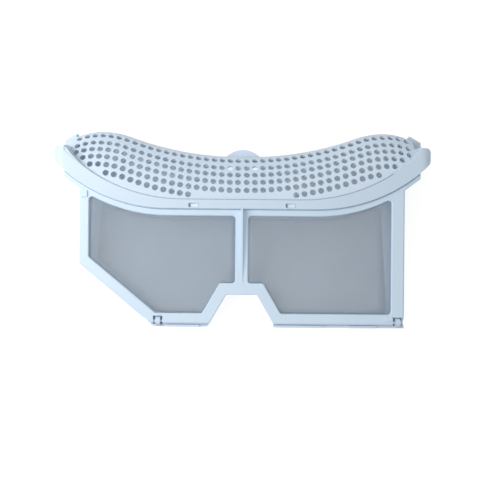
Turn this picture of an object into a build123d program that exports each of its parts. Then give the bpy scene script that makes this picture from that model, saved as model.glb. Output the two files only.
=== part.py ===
from build123d import *
from dataclasses import dataclass
from math import acos, asin, cos, degrees, hypot, radians, sin, sqrt, tan
import os

# Tumble dryer lint filter, in millimetres. It is modelled in the plane of its door (X across, Y up the door
# from its foot, Z out of the door's face) and at the end laid on its back, with the rear frame on Z = 0.

# Overall: half the length of the rim, and its height above the foot of the door
rim_half_length = 178.0
rim_level = 108.0

# Door outline, from the foot upwards
rim_overhang = 27.0
door_half_width = rim_half_length - rim_overhang
door_thickness = 3.0
slant_height = 56.4
slant_run = 68.1
slant_foot_x = slant_run - door_half_width
notch_foot_half = 30.4
notch_top_half = 14.2
notch_height = 28.0
wing_inset = 12.0
wing_half_width = rim_half_length - wing_inset
wing_foot_rise = 18.0
wing_foot_height = rim_level + wing_foot_rise
wing_rise = 11.2
wing_tip_height = wing_foot_height + wing_rise
door_edge_chamfer = 0.7

# Bars of the door around its two windows
left_bar = 8.5
right_bar = 11.5
bottom_bar = 10.5
notch_bar = 10.7
slant_bar = 10.0
top_bar = 6.0
mullion = 12.0
window_corner = 3.0

# Hood: the crest line across, and the section from the crest down to the seam
hood_end_inset = 13.0
hood_half_length = rim_half_length - hood_end_inset
hood_wall = 2.0
hood_rise = 53.5
hood_middle_height = rim_level + hood_rise
hood_flat_half = 4.0
hood_dip_radius = 310.0
hood_end_run = 27.0
hood_crest_x = hood_half_length - hood_end_run
hood_shoulder = 28.0
hood_bend_x = hood_crest_x - hood_shoulder
hood_end_radius = 58.5
hood_nose_radius = 11.0
hood_nose_angle = 50.0
hood_face_radius = 89.0
hood_proud = 1.29
hood_bow = (hood_face_radius - hood_nose_radius) * sin(radians(hood_nose_angle))
hood_crest_depth = hood_face_radius - hood_bow - hood_proud
hood_crest_flat = 1.04
hood_back_bevel = 5.0
hood_back = hood_crest_depth + hood_crest_flat + hood_back_bevel
hood_skirt = 2.0
inner_chords = 3
seat_clearance = 0.3

# Rim: its lower edge and the seam with the hood are level in the middle and turn up at the sides
rim_turn_reach = 108.0
rim_flat_half = rim_half_length - rim_turn_reach
rim_radius = 149.0
rim_band = 8.2
seam_level = rim_level + rim_band
seam_turn_reach = 122.0
seam_flat_half = rim_half_length - seam_turn_reach
seam_radius = 155.0
rim_end_height = 11.15
rim_ledge = 0.9
rim_proud = hood_proud + rim_ledge
rim_back_margin = 3.0
rim_back = hood_back + rim_back_margin
rim_front_corner = 12.0
rim_back_corner = 5.0
rim_tip_round = 7.0
rim_tip_chamfer = 3.5
rim_floor = 2.2
door_gap = 0.7
stop_drop = 3.5
stop_shelf = 1.0
stop_depth = 3.4
stop_thickness = 1.6

# Perforations of the hood: columns from the middle outwards, rows by their run down the wall from the crest
hole_width = 5.9
hole_sides = 6
hole_cutter_reach = 6.0
first_column_x = 4.15
column_pitch = 7.7
end_column_margin = 6.8
column_count = 1 + int((hood_half_length - end_column_margin - first_column_x) / column_pitch)
first_row_run = 13.4
row_pitch = 8.2
row_count = 6
middle_columns = 6
middle_rows = 5
end_rows = (5, 5, 4, 3)

# Grip tab on the back of the hood, with a window at each side
grip_radius = 23.7
grip_drop = 15.4
grip_centre_height = hood_middle_height - grip_drop
grip_stem = 18.0
grip_thickness = 2.6
grip_window_x = 12.5
grip_window_drop = 9.5
grip_window_width = 8.0
grip_window_height = 7.0
grip_edge_chamfer = 0.8

# Housing behind the door
foot_depth = 13.2
taper_angle = 11.6
housing_wall = 2.2
rear_plate = 2.5
side_margin = 1.2
door_seat_gap = 0.1
foot_margin = 2.4
rear_left_bar = 12.5
rear_right_bar = 15.5
rear_slant_bar = 12.0
rear_top_drop = 10.0
lug_inset = 12.6
lug_start_x = rim_half_length - lug_inset
lug_width = 11.0
lug_thickness = 7.0
lug_rise = 18.5
lug_fall = 6.5
lug_root = 9.0
lip_reach = 2.0
left_lip = (slant_foot_x + 13.9, -notch_foot_half - 8.6)
middle_lip = (notch_foot_half - 0.4, notch_foot_half + 46.6)
right_lip = (door_half_width - 51.0, door_half_width - 25.0)

# Screens, moulded into the inner faces of the two frames
screen_thickness = 0.5
screen_overlap = 3.0

# Hinge at the foot of the door
hinge_height = 3.0
hinge_depth = 3.0
knuckle_radius = 4.3
knuckle_width = 4.4
knuckle_gap = 2.2
slot_play = 0.7
hinge_clearance = 0.3
pin_diameter = 3.0
pin_bore = 3.4
snap_mouth = 2.4
knuckle_inset = 5.25
left_knuckle_x = slant_foot_x + knuckle_inset
right_knuckle_x = door_half_width - knuckle_inset
boss_length = 5.0

# Snap clips of the hood and their windows in the rim
clip_x = 45.0
clip_window_width = 9.3
clip_window_height = 3.8
clip_window_rise = 1.0
clip_width = 6.4
clip_thickness = 1.5
clip_depth = 2.3
clip_nose = 3.4
clip_play = 0.4
clip_root = 8.0

# Fin on the mullion and nub on the door's corner
fin_thickness = 2.0
fin_height = 6.0
fin_foot = 36.0
nub_size = 6.0
nub_height = 1.2
nub_edge_gap = 1.0
nub_drop = 8.0

# Room for cutting tools past the part
beyond = 60.0


@dataclass(frozen=True)
class SmileCurve:
    """A line that is level in the middle and turns up in an arc at each side."""

    level: float
    flat_half: float
    radius: float

    def height(self, x):
        """Height of the line at a distance x from the middle."""
        reach = max(abs(x) - self.flat_half, 0.0)
        return self.level + self.radius - sqrt(self.radius**2 - reach**2)

    def lowered(self, drop):
        """The same line moved straight down."""
        return SmileCurve(self.level - drop, self.flat_half, self.radius)

    def area_below(self, half_length):
        """Face from the line down past the foot of the part."""
        half_turn = asin((half_length - self.flat_half) / self.radius) / 2
        middle_x = self.flat_half + self.radius * sin(half_turn)
        middle_y = self.level + self.radius * (1 - cos(half_turn))
        end_y = self.height(half_length)
        right = ThreePointArc((self.flat_half, self.level), (middle_x, middle_y), (half_length, end_y))
        left = ThreePointArc((-half_length, end_y), (-middle_x, middle_y), (-self.flat_half, self.level))
        flat = Line((-self.flat_half, self.level), (self.flat_half, self.level))
        foot = [(half_length, -beyond), (-half_length, -beyond)]
        rest = Polyline((half_length, end_y), *foot, (-half_length, end_y))
        return make_face(Curve() + [left, flat, right, rest])


rim_curve = SmileCurve(rim_level, rim_flat_half, rim_radius)
seam_curve = SmileCurve(seam_level, seam_flat_half, seam_radius)
door_top_curve = rim_curve.lowered(door_gap)
window_top_curve = door_top_curve.lowered(top_bar)
rear_window_top_curve = rim_curve.lowered(rear_top_drop)
rim_top_limit = rim_curve.height(rim_half_length) + rim_end_height

# The outline below the rim, anticlockwise from the foot of the slant
outline_top = rim_top_limit + beyond
body_corners = [
    (slant_foot_x, 0),
    (-notch_foot_half, 0),
    (-notch_top_half, notch_height),
    (notch_top_half, notch_height),
    (notch_foot_half, 0),
    (door_half_width, 0),
    (door_half_width, outline_top),
    (-door_half_width, outline_top),
    (-door_half_width, slant_height),
]


def inset(corners, distances):
    """Move each edge of an anticlockwise outline inwards by its own distance, and give the new corners."""
    lines = []
    for (x0, y0), (x1, y1), distance in zip(corners, corners[1:] + corners[:1], distances):
        length = hypot(x1 - x0, y1 - y0)
        along_x = (x1 - x0) / length
        along_y = (y1 - y0) / length
        lines.append((x0 - along_y * distance, y0 + along_x * distance, along_x, along_y))
    moved = []
    for before, after in zip(lines[-1:] + lines[:-1], lines):
        across = before[2] * after[3] - before[3] * after[2]
        step = ((after[0] - before[0]) * after[3] - (after[1] - before[1]) * after[2]) / across
        moved.append((before[0] + before[2] * step, before[1] + before[3] * step))
    return moved


def edge_distances(foot, notch, right, left, slant):
    """Distances for inset() in the order of body_corners."""
    return [foot, notch, notch, notch, foot, right, 0, left, slant]


def polygon(corners):
    """Face inside a closed list of corners."""
    return make_face(Polyline(*corners, close=True))


def slab(face, near, far):
    """Solid of a face in the door's plane, from one depth behind the door's face to a greater one."""
    return Pos(0, 0, -far) * extrude(face, far - near)


def rear_depth(y):
    """Depth of the rear frame's outer plane behind the door's face."""
    return foot_depth + y * tan(radians(taper_angle))


def wedge(near, thickness):
    """Everything between a plane behind the door and the rear plane, less a thickness along depth."""
    kink_y = (rim_back - foot_depth) / tan(radians(taper_angle))
    section = [
        (-beyond, -near),
        (outline_top, -near),
        (outline_top, thickness - rim_back),
        (kink_y, thickness - rim_back),
        (-beyond, thickness - rear_depth(-beyond)),
    ]
    return extrude(Plane.YZ * polygon(section), rim_half_length + beyond, both=True)


def windows(corners, top_curve):
    """Left and right window outlines on each side of the mullion, with rounded corners."""
    whole = polygon(corners) & top_curve.area_below(rim_half_length)
    half_field = Rectangle(rim_half_length, 2 * outline_top, align=(Align.MIN, Align.CENTER))
    right_half = Pos(mullion / 2, 0) * half_field
    left_half = mirror(right_half, about=Plane.YZ)
    openings = []
    for half in (left_half, right_half):
        opening = whole & half
        sharp = [tip for tip in opening.vertices() if abs(abs(tip.X) - top_curve.flat_half) > window_corner]
        openings.append(fillet(sharp, window_corner))
    return openings


@dataclass(frozen=True)
class Span:
    """A line or an arc, as the control points and weights of a Bezier curve."""

    points: tuple
    weights: tuple

    @classmethod
    def line(cls, start, end):
        """Straight span between two points."""
        return cls((start, end), (1.0, 1.0))

    @classmethod
    def arc(cls, centre, radius, start, end):
        """Arc about a centre between two angles."""
        half = (end - start) / 2
        reaches = ((start, radius), (start + half, radius / cos(half)), (end, radius))
        points = [(centre[0] + reach * cos(turn), centre[1] + reach * sin(turn)) for turn, reach in reaches]
        return cls(tuple(points), (1.0, cos(half), 1.0))

    @classmethod
    def chords(cls, centre, radius, start, end, count):
        """An arc as straight spans."""
        turns = [start + (end - start) * step / count for step in range(count + 1)]
        points = [(centre[0] + radius * cos(turn), centre[1] + radius * sin(turn)) for turn in turns]
        return [cls.line(*ends) for ends in zip(points, points[1:])]


def hood_shoulder_radius():
    """Radius of the shoulders' rise, tangent to the dip at the bend and level at the crest."""
    return hood_dip_radius * hood_shoulder / (hood_bend_x - hood_flat_half)


def hood_top_height():
    """Height of the crest line where it is highest."""
    turn = asin((hood_bend_x - hood_flat_half) / hood_dip_radius)
    return hood_middle_height + (hood_dip_radius + hood_shoulder_radius()) * (1 - cos(turn))


def hood_crest(x):
    """Height of the hood's crest line: a dip in the middle, then a rounded shoulder at each side."""
    reach = abs(x)
    if reach <= hood_bend_x:
        return SmileCurve(hood_middle_height, hood_flat_half, hood_dip_radius).height(x)
    radius = hood_shoulder_radius() if reach < hood_crest_x else hood_end_radius
    return hood_top_height() - radius + sqrt(radius**2 - (reach - hood_crest_x) ** 2)


def crest_spans(half):
    """The crest line from the middle to the right end, as points across and up."""
    square = radians(90)
    turn = asin((hood_bend_x - hood_flat_half) / hood_dip_radius)
    end_turn = asin((half - hood_crest_x) / hood_end_radius)
    top = hood_top_height()
    shoulder = hood_shoulder_radius()
    dip_centre = (hood_flat_half, hood_middle_height + hood_dip_radius)
    return [
        Span.line((0, hood_middle_height), (hood_flat_half, hood_middle_height)),
        Span.arc(dip_centre, hood_dip_radius, -square, turn - square),
        Span.arc((hood_crest_x, top - shoulder), shoulder, square + turn, square),
        Span.arc((hood_crest_x, top - hood_end_radius), hood_end_radius, square, square - end_turn),
    ]


def section_spans(grow):
    """Closed section of the hood, as points up and out from its crest, with the wall moved outwards."""
    limit = radians(hood_nose_angle)
    square = radians(90)
    nose = ((-hood_nose_radius, -hood_crest_depth), hood_nose_radius + grow, 0, limit)
    rest = hood_face_radius - hood_nose_radius
    face_centre = (-hood_nose_radius - rest * cos(limit), -hood_crest_depth - hood_bow)
    face = (face_centre, hood_face_radius + grow, limit, square)
    if grow < 0:
        wall = Span.chords(*nose, inner_chords) + Span.chords(*face, inner_chords)
    else:
        wall = [Span.arc(*nose), Span.arc(*face)]
    bevel = hood_back_bevel + grow
    back = -hood_back - grow
    corners = [
        wall[-1].points[-1],
        (-hood_middle_height, hood_proud + grow),
        (-hood_middle_height, back),
        (grow - bevel, back),
        (grow, back + bevel),
        wall[0].points[0],
    ]
    return wall + [Span.line(*ends) for ends in zip(corners, corners[1:])]


def patch(across, down):
    """Surface that a span of the section leaves as it moves along a span of the crest line."""
    points = [[(x, y + rise, out) for rise, out in down.points] for x, y in across.points]
    weights = [[weight * other for other in down.weights] for weight in across.weights]
    return Face.make_bezier_surface(points, weights)


def cap(place, spans):
    """Flat end of the hood's body at a point of the crest line."""
    x, y = place
    edges = []
    for span in spans:
        points = [(x, y + rise, out) for rise, out in span.points]
        edges.append(Edge.make_bezier(*points, weights=list(span.weights)))
    return Face(Wire(edges))


def hood_half_body(grow):
    """Right half of the solid under the hood's surface, moved outwards by grow, with a square end."""
    crest = crest_spans(hood_half_length + grow)
    section = section_spans(grow)
    faces = [patch(across, down) for across in crest for down in section]
    ends = [cap(place, section) for place in (crest[0].points[0], crest[-1].points[-1])]
    return Solid(Shell(faces + ends))


def hood_wall_at(run):
    """Drop below the crest line and depth of the hood's outer wall a run down its section, and its angle."""
    limit = radians(hood_nose_angle)
    nose_run = hood_nose_radius * limit
    if run < nose_run:
        turn = run / hood_nose_radius
        rest = 0.0
    else:
        turn = limit + (run - nose_run) / hood_face_radius
        rest = hood_face_radius - hood_nose_radius
    reach = hood_nose_radius + rest
    drop = hood_nose_radius + rest * cos(limit) - reach * cos(turn)
    depth = hood_crest_depth + rest * sin(limit) - reach * sin(turn)
    return drop, depth, turn


def both_sides(shape):
    """A right-hand shape together with its mirror image."""
    return shape + mirror(shape, about=Plane.YZ)


def rows_in(column):
    """How many holes a column has."""
    from_end = column - column_count + len(end_rows)
    if from_end >= 0:
        return end_rows[from_end]
    return middle_rows if column < middle_columns else row_count


def hole_cutters():
    """Cutters of the right half's perforations, square to the hood's section."""
    cutter = extrude(RegularPolygon(hole_width / 2, hole_sides), hole_cutter_reach, both=True)
    cutters = []
    for column in range(column_count):
        x = first_column_x + column * column_pitch
        for row in range(rows_in(column)):
            drop, depth, turn = hood_wall_at(first_row_run + row * row_pitch)
            tilt = degrees(turn) - 90
            cutters.append(Pos(x, hood_crest(x) - drop, -depth) * Rot(tilt, 0, 0) * cutter)
    return cutters


def block(x_span, y_span, depth_span):
    """Box between two values of X, of Y and of depth behind the door's face."""
    size = [abs(span[1] - span[0]) for span in (x_span, y_span, depth_span)]
    middle = [sum(span) / 2 for span in (x_span, y_span, depth_span)]
    return Pos(middle[0], middle[1], -middle[2]) * Box(*size)


def axle(x_span, radius):
    """Cylinder on the hinge axis between two values of X."""
    middle = sum(x_span) / 2
    return Pos(middle, hinge_height, -hinge_depth) * Rot(0, 90, 0) * Cylinder(radius, x_span[1] - x_span[0])


def side_profile(points, x_span):
    """Prism of a profile given as (Y, depth) points, between two values of X."""
    face = Plane.YZ * polygon([(y, -depth) for y, depth in points])
    return Pos(x_span[0], 0, 0) * extrude(face, x_span[1] - x_span[0])


def around(middle, width):
    """The span of a width about its middle."""
    return (middle - width / 2, middle + width / 2)


def clip():
    """Right snap clip of the hood: a tongue behind the rim's front wall with a nose in the rim's window."""
    foot = rim_level + clip_window_rise + clip_play
    nose_top = foot + clip_window_height - 2 * clip_play
    width = around(clip_x, clip_width)
    tongue = block(width, (foot, seam_level + clip_root), (clip_depth, clip_depth + clip_thickness))
    nose = [(foot, clip_depth), (foot, clip_depth - clip_nose), (nose_top, clip_depth)]
    return tongue + side_profile(nose, width)


def grip():
    """Rounded finger tab on the back of the hood."""
    disc = Pos(0, grip_centre_height) * Circle(grip_radius)
    stem = Rectangle(2 * grip_radius, grip_stem, align=(Align.CENTER, Align.MAX))
    near = hood_back - hood_wall / 2
    tab = slab(disc + Pos(0, grip_centre_height) * stem, near, near + grip_thickness)
    return chamfer(tab.edges().filter_by(GeomType.CIRCLE), grip_edge_chamfer)


def hood():
    """Perforated hood with its clips and grip, from the seat in the rim upwards."""
    below_seat = slab(seam_curve.lowered(hood_skirt).area_below(rim_half_length), -beyond, 2 * beyond)
    shell = hood_half_body(0) - hood_half_body(-hood_wall) - below_seat
    shell = shell - hole_cutters() + clip()
    grip_window = block(
        around(grip_window_x, grip_window_width),
        around(hood_middle_height - grip_window_drop, grip_window_height),
        (hood_back - 2 * hood_wall, hood_back + grip_thickness),
    )
    return both_sides(shell) + grip() - both_sides(grip_window)


def rim():
    """Smile-shaped ring under the hood with a shoulder at each end, still without its opening."""
    band = seam_curve.area_below(rim_half_length) - rim_curve.area_below(rim_half_length + 1)
    band &= Rectangle(2 * rim_half_length, 2 * rim_top_limit)
    shoulder = Rectangle(lug_inset, lug_root, align=(Align.MIN, Align.MAX))
    shoulder = Pos(lug_start_x, rim_top_limit) * shoulder
    band += [shoulder, mirror(shoulder, Plane.YZ)]
    tips = band.vertices().group_by(Axis.X)
    ends = tips[0] + tips[-1]
    band = fillet(ends.filter_by(lambda tip: tip.Y > rim_top_limit - 1), rim_tip_round)
    tips = band.vertices().group_by(Axis.X)
    band = chamfer((tips[0] + tips[-1]).group_by(Axis.Y)[0], rim_tip_chamfer)
    plan = Rectangle(2 * rim_half_length, rim_back + rim_proud, align=(Align.CENTER, Align.MAX))
    plan = Pos(0, rim_proud) * plan
    plan = fillet(plan.vertices().group_by(Axis.Y)[-1], rim_front_corner)
    plan = fillet(plan.vertices().group_by(Axis.Y)[0], rim_back_corner)
    column = extrude(Plane.XZ * plan, 2 * rim_top_limit, both=True)
    return slab(band, -rim_proud, rim_back) & column & wedge(-beyond, 0)


def knuckle(x):
    """Hinge knuckle on the housing's foot, with a snap mouth for the door's pin."""
    width = around(x, knuckle_width)
    arm = block(width, (-foot_margin, hinge_height), (hinge_depth, rear_depth(0) - rear_plate))
    bore = axle(width, pin_bore / 2)
    mouth = block(width, (hinge_height, hinge_height + beyond), around(hinge_depth, snap_mouth))
    return axle(width, knuckle_radius) + arm - bore - mouth


def door_stop(inner):
    """Lip behind the door's top edge, hung on a shelf under the rim's front wall."""
    lip_face = rim_curve.area_below(rim_half_length)
    lip_face -= rim_curve.lowered(stop_drop).area_below(rim_half_length + 1)
    shelf_face = rim_curve.lowered(-stop_shelf).area_below(rim_half_length)
    shelf_face -= rim_curve.area_below(rim_half_length + 1)
    lip = slab(lip_face & polygon(inner), stop_depth, stop_depth + stop_thickness)
    return lip + slab(shelf_face & polygon(inner), 0, stop_depth + stop_thickness)


def housing():
    """Rear half of the pocket with the rim, the end lugs and the hinge knuckles."""
    front = door_thickness + door_seat_gap
    outer = inset(body_corners, edge_distances(-foot_margin, 0, -side_margin, -side_margin, -side_margin))
    inner = inset(outer, edge_distances(housing_wall, housing_wall, housing_wall, housing_wall, housing_wall))
    under_rim = rim_curve.lowered(-rim_floor / 2).area_below(rim_half_length)
    shell = slab(polygon(outer) & under_rim, front, rim_back) & wedge(front, 0)
    pocket_face = polygon(inner) & rim_curve.area_below(rim_half_length)
    pocket = slab(pocket_face, -beyond, 2 * beyond) & wedge(-beyond, rear_plate)
    shell -= axle((-rim_half_length, rim_half_length), hinge_height + hinge_clearance)
    ring = rim() + both_sides(lug())
    inside = both_sides(hood_half_body(-hood_wall))
    floor = slab(rim_curve.lowered(-rim_floor).area_below(rim_half_length), -beyond, 2 * beyond)
    throat_foot = slab(rim_curve.lowered(1).area_below(rim_half_length), -beyond, 2 * beyond)
    throat = (inside & slab(polygon(inner), -beyond, 2 * beyond)) - throat_foot
    seat_floor = slab(seam_curve.lowered(hood_skirt).area_below(rim_half_length), -beyond, 2 * beyond)
    seat = both_sides(hood_half_body(seat_clearance)) - seat_floor
    body = shell + ring - pocket - (inside - floor) - throat - seat + door_stop(inner)
    body -= [slab(face, front, 2 * beyond) for face in rear_windows()]
    body -= screen_layer(rear_windows())
    window_foot = rim_level + clip_window_rise
    window_span = (window_foot, window_foot + clip_window_height)
    clip_window = block(around(clip_x, clip_window_width), window_span, (-beyond, clip_depth))
    body -= both_sides(clip_window)
    for x_span in (left_lip, middle_lip, right_lip):
        body += block(x_span, (-foot_margin, -hinge_clearance), (front - lip_reach, front + lip_reach))
    return body + [knuckle(x) for x in (left_knuckle_x, right_knuckle_x)]


def lug():
    """Right end lug behind the hood, with a sloping top."""
    near_x = lug_start_x
    far_x = lug_start_x + lug_width
    top = rim_top_limit + lug_rise
    root = rim_top_limit - lug_root
    outline = polygon([(near_x, root), (far_x, root), (far_x, top - lug_fall), (near_x, top)])
    return slab(outline, rim_back - lug_thickness, rim_back)


def rear_windows():
    """Window outlines of the rear frame."""
    bars = edge_distances(bottom_bar, notch_bar, rear_right_bar, rear_left_bar, rear_slant_bar)
    return windows(inset(body_corners, bars), rear_window_top_curve)


def door_windows():
    """Window outlines of the door."""
    bars = edge_distances(bottom_bar, notch_bar, right_bar, left_bar, slant_bar)
    return windows(inset(body_corners, bars), window_top_curve)


def screen_layer(faces):
    """Screens on the inner face of the rear frame, a little larger than its windows."""
    layer = wedge(-beyond, rear_plate - screen_thickness) - wedge(-beyond, rear_plate)
    return [slab(offset(face, screen_overlap), 0, beyond) & layer for face in faces]


def door_screens():
    """Screens on the inner face of the door."""
    front = door_thickness - screen_thickness
    return [slab(offset(face, screen_overlap), front, door_thickness) for face in door_windows()]


def door_frame():
    """Door with its windows, fin, nub and hinge pins."""
    wings = polygon([
        (-door_half_width, wing_foot_height),
        (door_half_width, wing_foot_height),
        (wing_half_width, wing_tip_height),
        (wing_half_width, outline_top),
        (-wing_half_width, outline_top),
        (-wing_half_width, wing_tip_height),
    ])
    outline = (polygon(body_corners) + wings) & door_top_curve.area_below(rim_half_length)
    outline -= door_windows()
    plate = slab(outline, 0, door_thickness)
    plate = chamfer(plate.edges().group_by(Axis.Z)[-1], door_edge_chamfer)
    foot_corner = block((-rim_half_length, rim_half_length), (-1, hinge_height), (-1, hinge_depth))
    plate -= foot_corner - axle((-rim_half_length, rim_half_length), hinge_height)
    slot_half = knuckle_width / 2 + knuckle_gap
    slot_top = hinge_height + knuckle_radius + slot_play
    left_slot = (left_knuckle_x - slot_half, left_knuckle_x + slot_half)
    right_slot = (right_knuckle_x - slot_half, door_half_width + beyond)
    plate -= [block(slot, (-beyond, slot_top), (-beyond, beyond)) for slot in (left_slot, right_slot)]
    left_pin = axle((left_slot[0] - boss_length, left_slot[1] + boss_length), pin_diameter / 2)
    right_pin = axle((right_slot[0] - boss_length, right_knuckle_x + slot_half), pin_diameter / 2)
    boss_ends = (left_slot[1] + boss_length, right_slot[0])
    bosses = [axle((end - boss_length, end), hinge_height) for end in boss_ends]
    fin_top = rim_level - hinge_clearance
    fin = side_profile([(fin_foot, 0), (fin_top, 0), (fin_top, -fin_height)], around(0, fin_thickness))
    nub_x = nub_edge_gap - door_half_width
    nub_y = wing_foot_height - nub_drop
    nub = block((nub_x, nub_x + nub_size), (nub_y, nub_y + nub_size), (-nub_height, door_thickness / 2))
    plate = plate + [left_pin, right_pin, fin, nub] + bosses
    return plate - door_screens()


door_mesh_left, door_mesh_right = door_screens()
rear_mesh_left, rear_mesh_right = screen_layer(rear_windows())
pieces = {
    "housing": housing(),
    "hood": hood(),
    "door_frame": door_frame(),
    "door_mesh_left": door_mesh_left,
    "door_mesh_right": door_mesh_right,
    "rear_mesh_left": rear_mesh_left,
    "rear_mesh_right": rear_mesh_right,
}

# Laid on its back: the rear plane turns level, and the origin goes to the middle of the footprint
rear_rise = foot_depth * cos(radians(taper_angle))
on_back = Pos(0, 0, rear_rise) * Rot(taper_angle, 0, 0)
boxes = [(on_back * piece).bounding_box() for piece in pieces.values()]
front_y = min(box.min.Y for box in boxes)
back_y = max(box.max.Y for box in boxes)
laid_down = Pos(0, -(front_y + back_y) / 2, 0) * on_back

os.makedirs("parts", exist_ok=True)
for name, piece in pieces.items():
    export_step(laid_down * piece, f"parts/{name}.step")
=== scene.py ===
"""Tumble dryer lint filter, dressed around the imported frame.

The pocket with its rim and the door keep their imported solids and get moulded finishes. The hood is
rebuilt with round perforations, and the four screens are rebuilt as taut woven sheets. Sizes are in
millimetres in the plane of the closed door, and become metres in the frame when a piece is finished.
"""

import logging
from dataclasses import dataclass
from enum import Enum
from math import asin, cos, pi, radians, sin
from typing import Callable

import bmesh
import bpy
import numpy as np
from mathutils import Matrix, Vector

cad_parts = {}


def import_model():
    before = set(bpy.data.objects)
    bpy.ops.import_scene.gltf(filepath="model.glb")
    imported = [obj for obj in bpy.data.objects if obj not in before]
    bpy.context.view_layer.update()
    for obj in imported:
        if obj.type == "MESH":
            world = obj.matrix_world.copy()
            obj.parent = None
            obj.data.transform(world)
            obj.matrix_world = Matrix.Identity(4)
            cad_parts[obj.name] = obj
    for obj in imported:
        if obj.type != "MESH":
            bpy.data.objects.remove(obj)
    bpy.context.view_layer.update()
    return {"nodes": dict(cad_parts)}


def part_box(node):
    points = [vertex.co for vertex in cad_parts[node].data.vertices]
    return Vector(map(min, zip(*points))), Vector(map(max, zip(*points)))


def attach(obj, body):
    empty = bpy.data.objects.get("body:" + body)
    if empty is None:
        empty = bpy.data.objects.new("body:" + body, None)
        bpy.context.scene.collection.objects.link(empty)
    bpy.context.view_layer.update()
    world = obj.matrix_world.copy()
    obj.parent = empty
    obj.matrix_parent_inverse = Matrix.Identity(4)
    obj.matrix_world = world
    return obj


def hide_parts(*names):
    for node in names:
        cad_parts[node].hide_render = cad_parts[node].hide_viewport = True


log = logging.getLogger("lint_filter")

MM = 0.001
WHITE = (1.0, 1.0, 1.0, 1.0)

# Points closer than these are one point, in millimetres in the door's plane and in metres in the frame
PLANE_WELD = 0.02
FRAME_WELD = 1e-6
CUT_WELD = 1e-7

# Detail of the noise textures, and the value that they vary about
CLOUD_DETAIL = 4.0
GRAIN_DETAIL = 3.0
LINT_DETAIL = 5.0
NOISE_MIDDLE = 0.5

# Mean height of a woven thread and its swing over and under, as shares of its depth
THREAD_LEVEL = 0.6
THREAD_SWING = 0.3

# Turns sharper than this angle are softened, in this many steps
SOFT_ANGLE = radians(42.0)
SOFT_STEPS = 2

Colour = tuple[float, float, float, float]


class Body(str, Enum):
    """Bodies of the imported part."""

    POCKET = "pocket"
    DOOR = "door"


class Slot(str, Enum):
    """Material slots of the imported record."""

    PLASTIC = "white_plastic"
    SCREEN = "screen_mesh"


@dataclass(frozen=True)
class DoorPlane:
    """Plane of the closed door: x across, rise up the door from its foot, and out of its face."""

    tilt: float = radians(11.6)
    foot_y: float = -92.775
    foot_z: float = 12.9305

    def to_frame(self, points: np.ndarray) -> np.ndarray:
        """Place points of the door's plane in the frame.

        Args:
            points: Rows of x, rise and out, in millimetres.

        Returns:
            Rows of X, Y and Z, in metres.
        """
        x, rise, out = np.asarray(points, dtype=float).T
        y = rise * cos(self.tilt) - out * sin(self.tilt) + self.foot_y
        z = rise * sin(self.tilt) + out * cos(self.tilt) + self.foot_z
        return np.column_stack((x, y, z)) * MM

    def normal(self) -> Vector:
        """Direction out of the door's face, in the frame."""
        return Vector((0.0, -sin(self.tilt), cos(self.tilt)))


DOOR_PLANE = DoorPlane()


class NodeSketch:
    """Adds nodes to a tree and joins their sockets."""

    def __init__(self, tree: bpy.types.NodeTree) -> None:
        """Keep the tree that the nodes go into."""
        self.tree = tree

    def add(self, kind: str, **settings: object) -> bpy.types.Node:
        """Add a node.

        Args:
            kind: Blender's name for the node type.
            settings: Attributes to set on the node.

        Returns:
            The new node.
        """
        node = self.tree.nodes.new(kind)
        for name, value in settings.items():
            setattr(node, name, value)
        return node

    def feed(self, socket: bpy.types.NodeSocket, value: object) -> None:
        """Join another socket to an input, or set the input's value."""
        if isinstance(value, bpy.types.NodeSocket):
            self.tree.links.new(value, socket)
        else:
            socket.default_value = value

    def math(self, operation: str, *values: object) -> bpy.types.NodeSocket:
        """Add a math node.

        Args:
            operation: Blender's name for the operation.
            values: Numbers or sockets for the node's inputs.

        Returns:
            The node's output.
        """
        node = self.add("ShaderNodeMath", operation=operation)
        for socket, value in zip(node.inputs, values):
            self.feed(socket, value)
        return node.outputs[0]

    def blend(self, amount: object, first: object, second: object) -> bpy.types.NodeSocket:
        """Mix two numbers.

        Args:
            amount: Share of the second number.
            first: Number or socket at an amount of 0.
            second: Number or socket at an amount of 1.

        Returns:
            The mixed number.
        """
        node = self.add("ShaderNodeMix", data_type="FLOAT")
        for socket, value in zip(node.inputs[0:1] + node.inputs[2:4], (amount, first, second)):
            self.feed(socket, value)
        return node.outputs[0]

    def tint(self, amount: object, first: object, second: object) -> bpy.types.NodeSocket:
        """Mix two colours.

        Args:
            amount: Share of the second colour.
            first: Colour or socket at an amount of 0.
            second: Colour or socket at an amount of 1.

        Returns:
            The mixed colour.
        """
        node = self.add("ShaderNodeMix", data_type="RGBA")
        for socket, value in zip(node.inputs[0:1] + node.inputs[6:8], (amount, first, second)):
            self.feed(socket, value)
        return node.outputs[2]

    def noise(self, place: object, scale: object, detail: float) -> bpy.types.NodeSocket:
        """Add a noise texture.

        Args:
            place: Socket of the coordinates.
            scale: Number or socket of the scale.
            detail: How many octaves it has.

        Returns:
            The noise, from 0 to 1.
        """
        node = self.add("ShaderNodeTexNoise")
        for name, value in (("Vector", place), ("Scale", scale), ("Detail", detail)):
            self.feed(node.inputs[name], value)
        return node.outputs["Fac"]


class GroupSketch(NodeSketch):
    """A new node group with named inputs and outputs."""

    def __init__(self, name: str, kind: str, inputs: dict[str, str], outputs: dict[str, str]) -> None:
        """Make the group.

        Args:
            name: Name of the group.
            kind: Blender's name for the tree type.
            inputs: Last word of Blender's socket type for each input.
            outputs: Last word of Blender's socket type for each output.
        """
        super().__init__(bpy.data.node_groups.new(name, kind))
        for side, sockets in (("INPUT", inputs), ("OUTPUT", outputs)):
            for socket, word in sockets.items():
                self.tree.interface.new_socket(socket, in_out=side, socket_type=f"NodeSocket{word}")
        self.given = self.add("NodeGroupInput").outputs
        self.shown = self.add("NodeGroupOutput").inputs


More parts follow.
